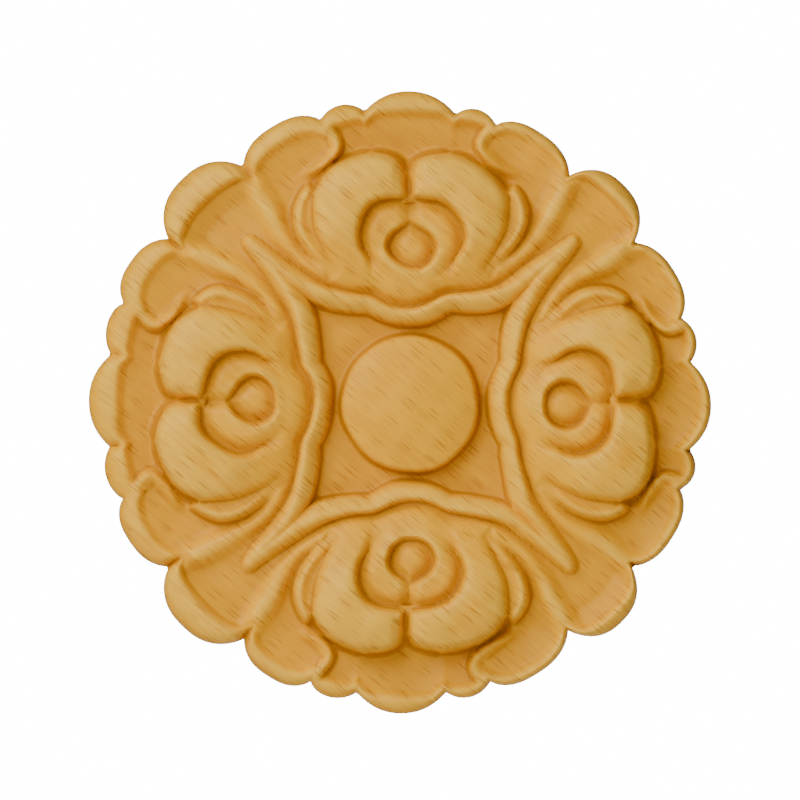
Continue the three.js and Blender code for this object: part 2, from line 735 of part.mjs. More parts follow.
// First wide triangles: rings of points, each ring with twice the points of the one inside it.
function startNet() {
  const net = new Net();
  const rings = [[net.addPoint(0, 0, [])]];
  RING_RADII.forEach((radius, ring) => {
    const steps = 2 ** (ring + 1);
    const points = [net.addPoint(0, radius, UP_AND_DOWN)];
    for (let i = 1; i < steps; i += 1) {
      const turn = degToRad((DIAGONAL_ANGLE * i) / steps);
      points.push(net.addPoint(radius * Math.sin(turn), radius * Math.cos(turn), ALL_WAYS));
    }
    points.push(net.addPoint(radius * Math.SQRT1_2, radius * Math.SQRT1_2, ALONG_DIAGONAL));
    rings.push(points);
  });
  rings.push(EDGE_ANGLES.map((angle) => net.addOutlinePoint(angle)));
  const [[middle], first] = rings;
  for (let i = 0; i < first.length - 1; i += 1) {
    net.addFace(middle, first[i + 1], first[i]);
  }
  for (let ring = 1; ring < rings.length - 1; ring += 1) {
    const inner = rings[ring];
    const outer = rings[ring + 1];
    for (let i = 0; i < inner.length - 1; i += 1) {
      net.addFace(inner[i], outer[2 * i + 1], outer[2 * i]);
      net.addFace(inner[i], inner[i + 1], outer[2 * i + 1]);
      net.addFace(inner[i + 1], outer[2 * i + 2], outer[2 * i + 1]);
    }
  }
  return net;
}

function carvedNet() {
  const net = startNet();
  for (const stage of NET_STAGES) {
    while (net.faces.size < stage * FACES_PER_EIGHTH) {
      const wide = [...net.faces].filter(({ size }) => size > SHORTEST_SIDE);
      net.refine(wide.reduce((x, y) => (y.misfit > x.misfit ? y : x)));
    }
    net.ease();
  }
  return net;
}

// The eight copies of a place of the plan; those that are mirror images have their faces turned.
const COPIES = [
  { place: (u, v) => [u, v], mirrored: false },
  { place: (u, v) => [-u, v], mirrored: true },
  { place: (u, v) => [-u, -v], mirrored: false },
  { place: (u, v) => [u, -v], mirrored: true },
  { place: (u, v) => [-v, u], mirrored: false },
  { place: (u, v) => [v, u], mirrored: true },
  { place: (u, v) => [v, -u], mirrored: false },
  { place: (u, v) => [-v, -u], mirrored: true },
];
const SHIFT_START = 0.85;
const SAME_PLACE = 1e4;

// Moves a place near the edge with the outline's shift.
function shifted(x, z) {
  const { r, radius } = fold(x, z);
  const wanted = outlineRadius(x, z, radius, SHIFT) / radius;
  const scale = lerp(1, wanted, ease(SHIFT_START, 1, r / radius));
  return [x * scale, z * scale];
}

// Closed body: the carved front, the square edge and the flat back.
function rosetteGeometry() {
  const net = carvedNet();
  const vertices = [];
  const indices = [];
  const known = new Map();
  const rim = new Map();

  function vertex(x, y, z) {
    const key = [x, y, z].map((value) => Math.round(value * SAME_PLACE)).join(' ');
    if (!known.has(key)) {
      known.set(key, vertices.length / 3);
      vertices.push(x, y, z);
    }
    return known.get(key);
  }

  for (const { place, mirrored } of COPIES) {
    const copies = net.points.map(({ u, v, onOutline }) => {
      const [x, z] = shifted(...place(u, v));
      const height = onOutline ? EDGE_HEIGHT : heightAt(x, z);
      const index = vertex(x * SHARE, -height, z * SHARE);
      if (onOutline) {
        rim.set(index, { x: x * SHARE, z: z * SHARE, turn: Math.atan2(z, x) });
      }
      return index;
    });
    for (const { corners: [a, b, c] } of net.faces) {
      indices.push(...(mirrored ? [copies[a], copies[c], copies[b]] : [copies[a], copies[b], copies[c]]));
    }
  }

  const loop = [...rim].sort(([, one], [, two]) => one.turn - two.turn);
  const middle = vertex(0, 0, 0);
  loop.forEach(([front, { x, z }], i) => {
    const [nextFront, next] = loop[(i + 1) % loop.length];
    const back = vertex(x, 0, z);
    const nextBack = vertex(next.x, 0, next.z);
    indices.push(nextFront, front, back);
    indices.push(nextFront, back, nextBack);
    indices.push(nextBack, back, middle);
  });

  const geometry = new THREE.BufferGeometry();
  geometry.setAttribute('position', new THREE.Float32BufferAttribute(vertices, 3));
  geometry.setIndex(indices);
  geometry.computeVertexNormals();
  return geometry;
}

const beech = new THREE.MeshStandardMaterial({ color: 0xdda654, roughness: 0.55, metalness: 0 });
const rosette = new THREE.Mesh(rosetteGeometry(), beech);
rosette.name = 'rosette';

const group = new THREE.Group();
group.add(rosette);

export default group;
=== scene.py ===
from math import radians

import bpy
import numpy as np
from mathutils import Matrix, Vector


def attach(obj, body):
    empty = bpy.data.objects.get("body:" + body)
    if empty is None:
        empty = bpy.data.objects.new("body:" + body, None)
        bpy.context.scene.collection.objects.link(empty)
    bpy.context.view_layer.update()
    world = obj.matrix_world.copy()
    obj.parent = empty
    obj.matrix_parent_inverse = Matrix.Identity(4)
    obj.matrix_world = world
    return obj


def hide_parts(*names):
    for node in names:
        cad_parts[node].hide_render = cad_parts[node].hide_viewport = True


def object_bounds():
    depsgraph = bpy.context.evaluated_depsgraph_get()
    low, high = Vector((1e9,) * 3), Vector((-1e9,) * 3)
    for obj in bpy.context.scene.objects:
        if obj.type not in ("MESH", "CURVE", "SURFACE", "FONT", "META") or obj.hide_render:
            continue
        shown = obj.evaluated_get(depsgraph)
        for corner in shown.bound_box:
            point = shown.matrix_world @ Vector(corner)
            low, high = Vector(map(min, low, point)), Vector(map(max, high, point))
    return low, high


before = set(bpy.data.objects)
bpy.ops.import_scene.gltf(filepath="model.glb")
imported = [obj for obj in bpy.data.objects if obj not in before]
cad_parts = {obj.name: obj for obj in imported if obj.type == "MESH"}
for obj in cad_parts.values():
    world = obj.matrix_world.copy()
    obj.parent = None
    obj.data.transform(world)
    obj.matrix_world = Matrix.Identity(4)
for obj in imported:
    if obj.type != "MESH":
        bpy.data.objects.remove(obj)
cad_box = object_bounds()

# The carved beech rosette stands upright: its flat back lies on Y = 0, the carved front faces -Y and Z
# points up. Blender works in metres. Places on the plan of the carving are in hundredths of its radius, and
# heights are in millimetres over the back.

MM = 0.001
PLAN_RADIUS = 100

# The outline reaches furthest out at the middle lobe of each fan, so the solid's box gives the radius in
# millimetres, and how far the outline lies to the right of the carving's middle and above it.
NOTCH = 94.5
MIDDLE_RISE = 5.8
(LEFT, _, BOTTOM), (RIGHT, _, TOP) = cad_box
RADIUS = (RIGHT - LEFT) / 2 / MM / (NOTCH + MIDDLE_RISE) * PLAN_RADIUS
OUTLINE_RIGHT = (LEFT + RIGHT) / 2 / MM
OUTLINE_UP = (BOTTOM + TOP) / 2 / MM
SHARE = RADIUS / PLAN_RADIUS

# Heights over the back
EDGE_HEIGHT = 4.0
FIELD_HEIGHT = 5.0
FAN_HEIGHT = 5.2
SPOON_HEIGHT = 6.1
CORNER_HEIGHT = 6.4
GROOVE_HEIGHT = 7.6
RIM_HEIGHT = 7.7
BUTTON_EDGE_HEIGHT = 7.4
BUTTON_CROWN = 3.6
WELL_HEIGHT = 8.2
BUD_EDGE_HEIGHT = 8.5
BUD_CROWN = 1.7
CREASE_HEIGHT = 9.2
BODY_HEIGHT = 10.6


# Lines of the plan

# The same eighth of the plan is turned and mirrored all round: v runs outwards along the middle of a flower
# and u runs across it, from 0 on the middle line to v on the diagonal. Two numbers in brackets are the
# places between which something comes in. Three are a height and the places between which it comes in.

CURVE_STEPS = 6


def smooth_line(*points):
    """A smooth line through points of the plan."""
    p = np.array(points, float)
    p = np.vstack([p[:1], p, p[-1:]])
    t = np.arange(CURVE_STEPS)[:, None] / CURVE_STEPS
    stretches = []
    for a, b, c, d in zip(p[:-3], p[1:-2], p[2:-1], p[3:]):
        bend = (2 * a - 5 * b + 4 * c - d) * t ** 2
        twist = (3 * b - a - 3 * c + d) * t ** 3
        stretches.append(b + ((c - a) * t + bend + twist) / 2)
    return np.vstack(stretches + [p[-1:]])


# Crest of a rib, from the middle of a flower to the tip of the stem on the diagonal
RIB = smooth_line(
    (-1.9, 28.4), (0, 28.4), (4.5, 28.9), (9, 30.5), (12.9, 32.4), (18.1, 32.9), (24.5, 34),
    (29.7, 35.5), (33.9, 37.9), (37.7, 40.5), (42.8, 44.4), (47.7, 48.4), (51.6, 51.8),
)
RIB_CREST = ((0, 9.7), (0.17, 9.8), (0.33, 10), (0.58, 10.4), (0.8, 10.2), (0.93, 9.8), (1, 9.3))
RIB_WIDTH = ((0, 3), (0.17, 3), (0.33, 2.8), (0.5, 3.4), (0.75, 3.7), (0.9, 3.3), (1, 2.5))
RIB_LEAN = (1.2, 0.75, 0.5)
RIB_SHOULDER = 2.2
RIB_WALL_SLOPE = 2.5
RIB_SIDES = (0.6, -0.6)
RIB_SOFTNESS = 0.2

# Groove on the flower's side of a rib and of the stem
GROOVE = smooth_line(
    (-1.9, 31.9), (0, 31.9), (3.9, 32.3), (8.1, 33.5), (12.3, 35.6), (15.5, 35.8), (20, 36.5),
    (25.8, 38.1), (31.6, 40.6), (36.8, 44.2), (41, 48.1), (45.2, 52.3), (49.4, 56.1),
)
GROOVE_WIDTH = 3.2
GROOVE_ROUNDNESS = 1.7
GROOVE_FADE = (1, 0.85)

# Free edges of a big petal: its top and the side along the narrow leaf
PETAL_TOP = smooth_line(
    (0, 76.1), (1, 77.6), (2.9, 79.2), (7.1, 80.8), (12.9, 81.3), (19.4, 80), (24.5, 77.4), (28.4, 73.9),
    (31.3, 70),
)
PETAL_SIDE = smooth_line(
    (31.3, 70.3), (31.9, 65.8), (31.8, 61.3), (31, 55.8), (28.7, 50.3), (25.5, 44.8), (20, 38.1),
)

# Outline of the flower's right half: petal top, side leaf, and the foot along the rib
FLOWER = np.vstack([
    PETAL_TOP,
    smooth_line(
        (33.5, 71), (36.1, 68.4), (38.2, 64.2), (38.5, 59.4), (37.1, 54.5), (34.5, 50),
        (31.6, 46.8), (29, 44.2), (27.4, 41.3),
    ),
    smooth_line(
        (27.1, 38.5), (25.8, 38.1), (20, 36.5), (15.5, 35.8), (12.3, 35.6), (8.1, 33.5),
        (3.9, 32.3), (0, 31.9),
    ),
])
FLOWER_WALL = 3.2
FLOWER_WALL_ROUNDNESS = 2.2
FOOT_DROP = (2.4, 53, 40.5)
FOOT_SIDE = (33, 26)
FOOT_WIDTH = 8.4
CREASE_FOOT = (1.4, 51.5, 39.5)

# Big petal, bounded by the side leaf, the ring of small petals and the notch at the middle
PETAL = np.vstack([
    [(0.1, 85), (31.3, 85)],
    PETAL_SIDE,
    smooth_line(
        (12.3, 34.8), (12.9, 41.9), (13.9, 47.4), (15.5, 50.6), (16.1, 54.8), (14.8, 59.4),
        (11.9, 63.2), (8.1, 65.2), (3.9, 66), (0.6, 66.8),
    ),
    [(0.1, 76), (0.1, 85)],
])
PETAL_SHOULDER = 2.6
PETAL_SHOULDER_ROUNDNESS = 1.7
PETAL_LIFT = (1.0, 38.7, 57.5)
PETAL_WALL = 4.2
PETAL_CUSHION = (2.4, 38, 61)
CUSHION_WIDTH = 12
CUSHION_EDGE_WIDTH = 1.8
CUSHION_EDGE_ROUNDNESS = 1.5

# Soft valley between the two big petals, with a low saddle at its foot
SPLIT_SIDE = (8, 2)
SPLIT_START = (64, 69)
SPLIT_WIDENING = 4
SADDLE_HEIGHT = 0.9
SADDLE_MIDDLE = 66.4
SADDLE_WIDTH = 4
SADDLE_LENGTH = 2.4

# Crest of the narrow leaf beside the big petal
LEAF = smooth_line(
    (33.9, 69.4), (36.1, 66.1), (36.6, 61.9), (36.3, 58.1), (35, 54.2), (32.6, 50), (29, 45.5),
    (25.2, 41.6),
)
LEAF_CREST = ((0, 10.2), (0.12, 10.7), (0.5, 10.9), (0.8, 10.8), (1, 10.6))
LEAF_DROP = 0.8
LEAF_ROUNDNESS = 1.8
LEAF_WIDTH = 2.75
LEAF_REACH = 1.1
LEAF_START = 19

# Ring of two small petals, the well inside it and the bud in the well
RING = smooth_line(
    (0, 65.2), (3.9, 65.6), (8.1, 65.2), (11.9, 63.2), (14.8, 59.4), (16.1, 54.8), (15.5, 50.6),
    (13.9, 47.4), (11, 43.2), (6.5, 40), (0, 38.7),
)
RING_RISE = (2.1, 38, 49)
RING_WALL = 4.8
RING_NOTCH = (1.5, 55, 60.5)
RING_NOTCH_WIDTH = 3.9
RING_NOTCH_ROUNDNESS = 1.4
WELL = smooth_line(
    (0, 59.7), (3.2, 57.6), (6.5, 55.2), (8.5, 51.9), (8.4, 48.4), (6.5, 45.2), (3.5, 43.2), (0, 42.6),
)
WELL_WALL = (-0.3, 2)
BUD = smooth_line(
    (0, 59), (2.3, 56.5), (4.5, 54.4), (6.1, 51.6), (6.3, 48.7), (4.8, 45.8), (2.6, 44.2), (0, 43.7),
)
BUD_WIDTH = 5

# Inner end of the spoon-shaped outer leaf, from the outline round to the foot of the flower
SPOON_END = smooth_line(
    (40.3, 122.6), (29.4, 92.3), (26.7, 90), (23.7, 87.2), (21.9, 84.3), (22, 81.1), (24.4, 78.1),
    (28.2, 74.7), (32.4, 71), (31.6, 64.5), (29, 54.8), (19.4, 45.2), (0, 40.6), (-12.9, 39.4),
)
SPOON_WALL = (-1, 1)
SPOON_LIP = (2, 71.5, 77)
SPOON_LIP_WIDTH = (1.6, 4.8)
SPOON_INWARDS = (0.4, 77, 61)
SPOON_FOOT = (3.2, 52, 42)

# Crest between the spoon-shaped leaf and the corner leaf on the diagonal
CREST = smooth_line(
    (69, 98.7), (52.3, 74.5), (48.7, 67.7), (46.1, 63.5), (43.2, 58.1), (40.3, 53.2), (37.4, 48.7),
    (34.5, 45.2), (31, 42.3), (25.8, 40.3), (19.4, 39),
)
CREST_TOP = ((45, 9.7), (58, 9.4), (68, 9.1), (77, 8.8), (84, 8.5), (91, 7.8))
CREST_WIDTH = (5.5, 0.5)
CREST_END = (97, 88)
CORNER_WALL = (-1.3, 1.3)
CORNER_INWARDS = (1.3, 87, 61)

# The low round button, a cap of a wider curve
BUTTON_RADIUS = 22.3
BUTTON_WALL = 1.3
BUTTON_OVERHANG = 1.6

# Lobes of the outline, with angles in degrees from the middle of a flower: first and last angle, radius at
# both, rise, squareness and fullness
QUARTER_TURN = 90
MIDDLE_END = 8.9
SMALL_END = 17.8
OUTER_END = 35.0
CORNER_END = QUARTER_TURN - OUTER_END
CORNER_NOTCH = 91.3
LOBES = (
    (-MIDDLE_END, MIDDLE_END, NOTCH, NOTCH, MIDDLE_RISE, 2.2, 1.0),
    (MIDDLE_END, SMALL_END, NOTCH, NOTCH, 3.2, 2.0, 0.85),
    (SMALL_END, OUTER_END, NOTCH, CORNER_NOTCH, 5.1, 2.8, 0.9),
    (OUTER_END, CORNER_END, CORNER_NOTCH, CORNER_NOTCH, 9.3, 2.6, 0.9),
)
ROLL_ROUNDNESS = 2.2

# Rim, where the front rolls over to the edge: an even curve across the fan, and at the leaves a line that
# lies a little inside the outline
SMALL_LOBE = (7.2, 10.6)
FAN_RIM_MIDDLE = 95.4
FAN_RIM_SMALL = 94
SPOON_RIM_INSET = 3.2
RIM_NARROWING = 0.35
RIM_NARROWING_SHARPNESS = 5
CORNER_RIM_INSET = 6.2
CORNER_RIM_LINE = 93.5
CORNER_RIM_STRAIGHTNESS = 0.6
CORNER_RIM_LEAST_INSET = 3
CORNER_RIM_SOFTNESS = 1
RIM_LEAST_INSET = 1.8
RIM_SOFTNESS = 0.8

# Wall between the hollows and the rim, and the creases that run inwards from the notches: depth, width,
# roundness, and the radii between which they come in
SPOON_RIM_RISE = 0.6
CORNER_RIM_RISE = 1.2
MIDDLE_RIM_WALL = 13
LEAF_RIM_WALL = 12
CORNER_RIM_WALL = 8
RIM_STEP_START = 0.72
RIM_RAMP = 0.4
MIDDLE_CREASE = (1.4, 0.9, 1.4, 92, 96)
CORNER_CREASE = (1.6, 1.6, 2, 84.5, 91.5)


# Steps and slopes

def ease(start, end, x):
    """Goes smoothly from 0 to 1 between two values, in either direction."""
    t = np.clip((x - start) / (end - start), 0, 1)
    return t * t * (3 - 2 * t)


def rise(step, x):
    """A height that comes in smoothly between two places."""
    height, start, end = step
    return height * ease(start, end, x)


def swell(gap, width, roundness=2.0):
    """Rises from 0 at an edge to 1 from the width inwards, steepest at the edge."""
    return 1 - (1 - np.clip(gap / width, 0, 1)) ** roundness


def blend(a, b, share):
    """Goes from a to b by a share."""
    return a + (b - a) * share


def soft_max(a, b, soft):
    """The larger of two values, with the corner between them rounded."""
    t = np.clip(0.5 + (a - b) / (2 * soft), 0, 1)
    return blend(b, a, t) + soft * t * (1 - t)


def soft_min(a, b, soft):
    """The smaller of two values, with the corner between them rounded."""
    return -soft_max(-a, -b, soft)


def along(pairs, x):
    """Straight steps between pairs of a place and a value."""
    places, values = zip(*pairs)
    return np.interp(x, places, values)


def nearest(u, v, line):
    """Distance to a line, the share of the way along it, and the side: 1 on the left."""
    best = np.full(len(u), np.inf)
    share = np.zeros(len(u))
    side = np.ones(len(u))
    for i, ((from_u, from_v), (du, dv)) in enumerate(zip(line[:-1], np.diff(line, axis=0))):
        wu = u - from_u
        wv = v - from_v
        t = np.clip((wu * du + wv * dv) / (du * du + dv * dv), 0, 1)
        gap = (wu - t * du) ** 2 + (wv - t * dv) ** 2
        closer = gap < best
        best = np.where(closer, gap, best)
        share = np.where(closer, (i + t) / (len(line) - 1), share)
        side = np.where(closer, np.sign(du * wv - dv * wu), side)
    return np.sqrt(best), share, side


def inside(u, v, line):
    """Distance inside a form whose right-hand edge is the line, negative outside it."""
    within = np.zeros(len(u), bool)
    for (u0, v0), (u1, v1) in zip(line[:-1], line[1:]):
        if v0 != v1:
            within ^= ((v0 > v) != (v1 > v)) & (u < u0 + (v - v0) * (u1 - u0) / (v1 - v0))
    gap, _, _ = nearest(u, v, line)
    return np.where(within, gap, -gap)


# Outline

# Nothing is divided by a radius smaller than this
LEAST_RADIUS = 1.0


def lobed(angle):
    """Radius of the lobed line, and the place across the lobe from -1 to 1."""
    radius = np.zeros(len(angle))
    place = np.zeros(len(angle))
    for start, end, first, last, height, squareness, fullness in LOBES:
        here = (angle >= start) & (angle <= end)
        across = (2 * angle - start - end) / (end - start)
        arch = np.clip(1 - np.abs(across) ** squareness, 0, None) ** fullness
        radius = np.where(here, blend(first, last, (across + 1) / 2) + height * arch, radius)
        place = np.where(here, across, place)
    return radius, place


def fold(x, z):
    """Where a place lies in the eighth of the plan that repeats: across, outwards, and its angle."""
    u = np.minimum(np.abs(x), np.abs(z))
    v = np.maximum(np.abs(x), np.abs(z))
    return u, v, np.degrees(np.arctan2(u, v))


def outline(x, z):
    """Radius of the outline, which lies a little off the middle of the carving."""
    r = np.maximum(np.hypot(x, z), LEAST_RADIUS)
    _, _, angle = fold(x, z)
    radius, _ = lobed(angle)
    return radius + (OUTLINE_RIGHT * x + OUTLINE_UP * z) / (SHARE * r)


# Drift of the carver's hand. Along the outline it is how far each notch lies clockwise of its even place,
# once round from the notch left of the top flower. In each flower it is how far the left petal, the right
# petal and the bud lie across and outwards, from the top flower clockwise.
QUARTER_NOTCHES = (-SMALL_END, -MIDDLE_END, MIDDLE_END, SMALL_END, OUTER_END, CORNER_END)
NOTCH_DRIFT = (
    0.5, 0, 0, -1.5, -0.3, -1.3,
    0.5, 0.8, 0.8, -0.5, 2.3, 0.3,
    3.1, 3.1, 2.7, 3.9, 0.6, 1.9,
    -0.8, 1.2, 0.8, 3.2, -1.3, -0.3,
)
NOTCH_DRIFT_START = (76, 92)
FLOWER_PLACES = ((-12.9, 74), (12.9, 74), (0, 50))
FLOWER_DRIFT = (
    ((-1.6, 0), (0, 0), (0.6, 0)),
    ((-3.2, -0.6), (1.6, -2.6), (0, -0.5)),
    ((1.6, -0.6), (2.8, -0.6), (-0.6, 0)),
    ((1.6, 2.4), (1.6, 0), (1.6, 0)),
)
FLOWER_DRIFT_REACH = 9.0

# Lines wander a little, except near the outline, and the surface is a little uneven. The lengths are those
# of the waves that make it so.
WAVES = 24
WANDER = 0.3
WANDER_LENGTHS = (14, 34)
WANDER_FADE = (100, 80)
UNEVENNESS = 0.06
UNEVEN_LENGTHS = (7, 20)


def waves(x, z, lengths, seed):
    """Slight waves in all directions, about 1 high."""
    draw = np.random.default_rng(seed)
    height = np.zeros(len(x))
    for _ in range(WAVES):
        turn, start = draw.uniform(0, 2 * np.pi, 2)
        across = x * np.cos(turn) + z * np.sin(turn)
        height += np.sin(2 * np.pi * across / draw.uniform(*lengths) + start)
    return height / np.sqrt(WAVES / 2)


def drifted(x, z):
    """The even place that the carving shows at a place, because the hand drifted."""
    wander = WANDER * ease(*WANDER_FADE, np.hypot(x, z))
    even_x = x + wander * waves(x, z, WANDER_LENGTHS, seed=1)
    even_z = z + wander * waves(x, z, WANDER_LENGTHS, seed=2)
    for quarter, pushes in enumerate(FLOWER_DRIFT):
        turn = radians(QUARTER_TURN * quarter)
        for (u, v), (across, outwards) in zip(FLOWER_PLACES, pushes):
            from_x = x - u * np.cos(turn) - v * np.sin(turn)
            from_z = z - v * np.cos(turn) + u * np.sin(turn)
            near = np.exp(-(from_x ** 2 + from_z ** 2) / (2 * FLOWER_DRIFT_REACH ** 2))
            even_x = even_x - (across * np.cos(turn) + outwards * np.sin(turn)) * near
            even_z = even_z - (outwards * np.cos(turn) - across * np.sin(turn)) * near
    turn = np.arctan2(even_x, even_z)
    r = np.hypot(even_x, even_z)
    notches = [QUARTER_TURN * quarter + angle for quarter in range(4) for angle in QUARTER_NOTCHES]
    drift = np.interp(np.degrees(turn), notches, NOTCH_DRIFT, period=360) * ease(*NOTCH_DRIFT_START, r)
    turn = turn - drift / np.maximum(r, LEAST_RADIUS)
    return r * np.sin(turn), r * np.cos(turn)


# Relief

def leaf_hollows(u, v, r):
    """Hollows of the fan, the spoon-shaped leaf and the corner leaf, with the crest between the leaves."""
    gap, _, side = nearest(u, v, SPOON_END)
    into_spoon = gap * side
    crest_gap, _, side = nearest(u, v, CREST)
    outwards = (u + v) / np.sqrt(2)
    spoon = SPOON_HEIGHT + rise(SPOON_INWARDS, v) + rise(SPOON_FOOT, v)
    corner = CORNER_HEIGHT + rise(CORNER_INWARDS, outwards)
    on_spoon = ease(*SPOON_WALL, into_spoon)
    on_corner = ease(*CORNER_WALL, crest_gap * side)
    lip = rise(SPOON_LIP, v) * (1 - ease(*SPOON_LIP_WIDTH, into_spoon)) * on_spoon
    height = blend(FAN_HEIGHT, spoon, on_spoon) + lip
    height = blend(height, corner, on_corner)
    missing = np.clip(along(CREST_TOP, r) - height, 0, None)
    height = height + missing * ease(*CREST_WIDTH, crest_gap) * ease(*CREST_END, r)
    return height, on_spoon, on_corner, crest_gap


def rim_radius(angle, radius, place, on_spoon, on_corner, edge):
    """Radius at which the hollows end and the rim begins to roll over to the edge."""
    even = blend(FAN_RIM_MIDDLE, FAN_RIM_SMALL, ease(*SMALL_LOBE, angle))
    fan = soft_min(even, radius - RIM_LEAST_INSET, RIM_SOFTNESS)
    narrowing = RIM_NARROWING * np.abs(place) ** RIM_NARROWING_SHARPNESS
    round_rim = blend(fan, radius - SPOON_RIM_INSET * (1 - narrowing), on_spoon)
    straight = CORNER_RIM_LINE / np.cos(np.radians(QUARTER_TURN / 2 - angle))
    bent = blend(radius - CORNER_RIM_INSET, straight, CORNER_RIM_STRAIGHTNESS)
    corner = soft_min(bent, radius - CORNER_RIM_LEAST_INSET, CORNER_RIM_SOFTNESS)
    return soft_min(blend(round_rim, corner, on_corner), edge - RIM_LEAST_INSET, RIM_SOFTNESS)


def notch_crease(crease, gap, r):
    """Depth of a crease that starts at a notch of the outline."""
    depth, width, roundness, start, end = crease
    return depth * np.exp(-(gap / width) ** roundness) * ease(start, end, r)


def rims(height, angle, r, rim, on_spoon, on_corner, crest_gap):
    """Rise of the hollows to the rim, and the creases at the notches of the outline."""
    top = RIM_HEIGHT + SPOON_RIM_RISE * on_spoon + CORNER_RIM_RISE * on_corner
    wall = blend(MIDDLE_RIM_WALL, LEAF_RIM_WALL, ease(*SMALL_LOBE, angle))
    t = np.clip(1 - (rim - r) / blend(wall, CORNER_RIM_WALL, on_corner), 0, 1)
    height = height + np.clip(top - height, 0, None) * blend(ease(RIM_STEP_START, 1, t), t, RIM_RAMP)
    height = height - notch_crease(MIDDLE_CREASE, np.abs(angle - MIDDLE_END), r)
    return height - notch_crease(CORNER_CREASE, crest_gap, r)


def groove(height, u, v):
    """Groove beside the rib and the stem."""
    gap, share, _ = nearest(u, v, GROOVE)
    depth = np.clip(height - GROOVE_HEIGHT, 0, None) * ease(*GROOVE_FADE, share)
    return height - depth * (1 - swell(gap, GROOVE_WIDTH, GROOVE_ROUNDNESS))


def big_petal(low, u, v, in_petal):
    """One of the two big petals: a cushion with a steep edge, and a soft valley at the middle line."""
    side_gap, _, _ = nearest(u, v, PETAL_SIDE)
    top_gap, _, _ = nearest(u, v, PETAL_TOP)
    shoulder = PETAL_SHOULDER + SPLIT_WIDENING * (ease(*SPLIT_SIDE, u) * ease(*SPLIT_START, v))
    height = low + (BODY_HEIGHT - low) * swell(in_petal, shoulder, PETAL_SHOULDER_ROUNDNESS)
    height = height + rise(PETAL_LIFT, v) * swell(in_petal, PETAL_WALL)
    cushion = rise(PETAL_CUSHION, v) * swell(np.minimum(side_gap, top_gap), CUSHION_WIDTH)
    return height + cushion * swell(in_petal, CUSHION_EDGE_WIDTH, CUSHION_EDGE_ROUNDNESS)


def flower(ground, u, v):
    """Two big petals, the narrow leaves beside them, the ring of small petals and the bud."""
    in_flower = inside(u, v, FLOWER)
    in_petal = inside(u, v, PETAL)
    in_ring = inside(u, v, RING)
    in_bud = inside(u, v, BUD)
    saddle = np.exp(-(u / SADDLE_WIDTH) ** 2 - ((v - SADDLE_MIDDLE) / SADDLE_LENGTH) ** 2)
    low = CREASE_HEIGHT + rise(CREASE_FOOT, v) + SADDLE_HEIGHT * saddle
    top = np.where(in_petal > 0, big_petal(low, u, v, in_petal), low)
    gap, share, _ = nearest(u, v, LEAF)
    across = np.clip(gap / LEAF_WIDTH, 0, LEAF_REACH)
    leaf = along(LEAF_CREST, share) - LEAF_DROP * across ** LEAF_ROUNDNESS
    top = np.where(u > LEAF_START, np.maximum(top, leaf), top)
    notch = rise(RING_NOTCH, v) * np.clip(1 - u / RING_NOTCH_WIDTH, 0, None) ** RING_NOTCH_ROUNDNESS
    small = low + rise(RING_RISE, v) * swell(in_ring, RING_WALL) - notch
    top = np.where(in_ring > 0, small, top)
    bed = np.where(in_bud > 0, BUD_EDGE_HEIGHT + BUD_CROWN * swell(in_bud, BUD_WIDTH), WELL_HEIGHT)
    top = blend(top, bed, ease(*WELL_WALL, inside(u, v, WELL)))
    top = top - rise(FOOT_DROP, v) * (1 - swell(in_flower, FOOT_WIDTH)) * ease(*FOOT_SIDE, u)
    return blend(ground, top, swell(in_flower, FLOWER_WALL, FLOWER_WALL_ROUNDNESS))


def ribs(height, u, v):
    """The four-sided field in the middle and the ribs round it."""
    gap, share, side = nearest(u, v, RIB)
    lean = rise(RIB_LEAN, share)
    outwards = gap * side - lean
    width = along(RIB_WIDTH, share) - lean * np.sign(outwards)
    across = np.abs(outwards)
    rib = along(RIB_CREST, share) - RIB_SHOULDER * np.minimum(across / width, 1) ** 2
    rib = rib - RIB_WALL_SLOPE * np.clip(across - width, 0, None)
    ground = blend(height, FIELD_HEIGHT, ease(*RIB_SIDES, gap * side))
    return soft_max(ground, rib, RIB_SOFTNESS)


def button(height, r):
    """The low round button in the middle of the field."""
    across = r / (BUTTON_RADIUS + BUTTON_OVERHANG)
    top = BUTTON_EDGE_HEIGHT + BUTTON_CROWN * np.sqrt(np.clip(1 - across ** 2, 0, None))
    risen = blend(FIELD_HEIGHT, top, swell(BUTTON_RADIUS - r, BUTTON_WALL))
    return np.where(r < BUTTON_RADIUS, risen, height)


def carved_height(x, z):
    """Height of the front over the back, in millimetres, at places of the plan."""
    uneven = UNEVENNESS * waves(x, z, UNEVEN_LENGTHS, seed=3)
    x, z = drifted(x, z)
    r = np.hypot(x, z)
    u, v, angle = fold(x, z)
    radius, place = lobed(angle)
    edge = outline(x, z)
    height, on_spoon, on_corner, crest_gap = leaf_hollows(u, v, r)
    rim = rim_radius(angle, radius, place, on_spoon, on_corner, edge)
    height = rims(height, angle, r, rim, on_spoon, on_corner, crest_gap)
    height = groove(height, u, v)
    height = flower(height, u, v)
    height = ribs(height, u, v)
    height = button(height, r) + uneven
    inwards = np.clip((edge - r) / (edge - rim), 0, 1)
    return blend(EDGE_HEIGHT, height, np.sqrt(1 - (1 - inwards) ** ROLL_ROUNDNESS))


# Carved block

# A sheet of squares covers the block in rows, from the middle of the front out to the edge, down the wall
# and over the back to its middle.

# Steps round, and stretches of rows on the front: start, end and number. The rows lie closest together at
# the button's wall and at the roll of the rim.
ROUND_STEPS = 672
ROW_STRETCHES = ((0, 0.2, 9), (0.2, 0.25, 9), (0.25, 0.95, 108), (0.95, 1, 12))
FRONT_ROWS = np.concatenate([
    *(np.linspace(start, end, number, endpoint=False) for start, end, number in ROW_STRETCHES),
    [1.0],
])

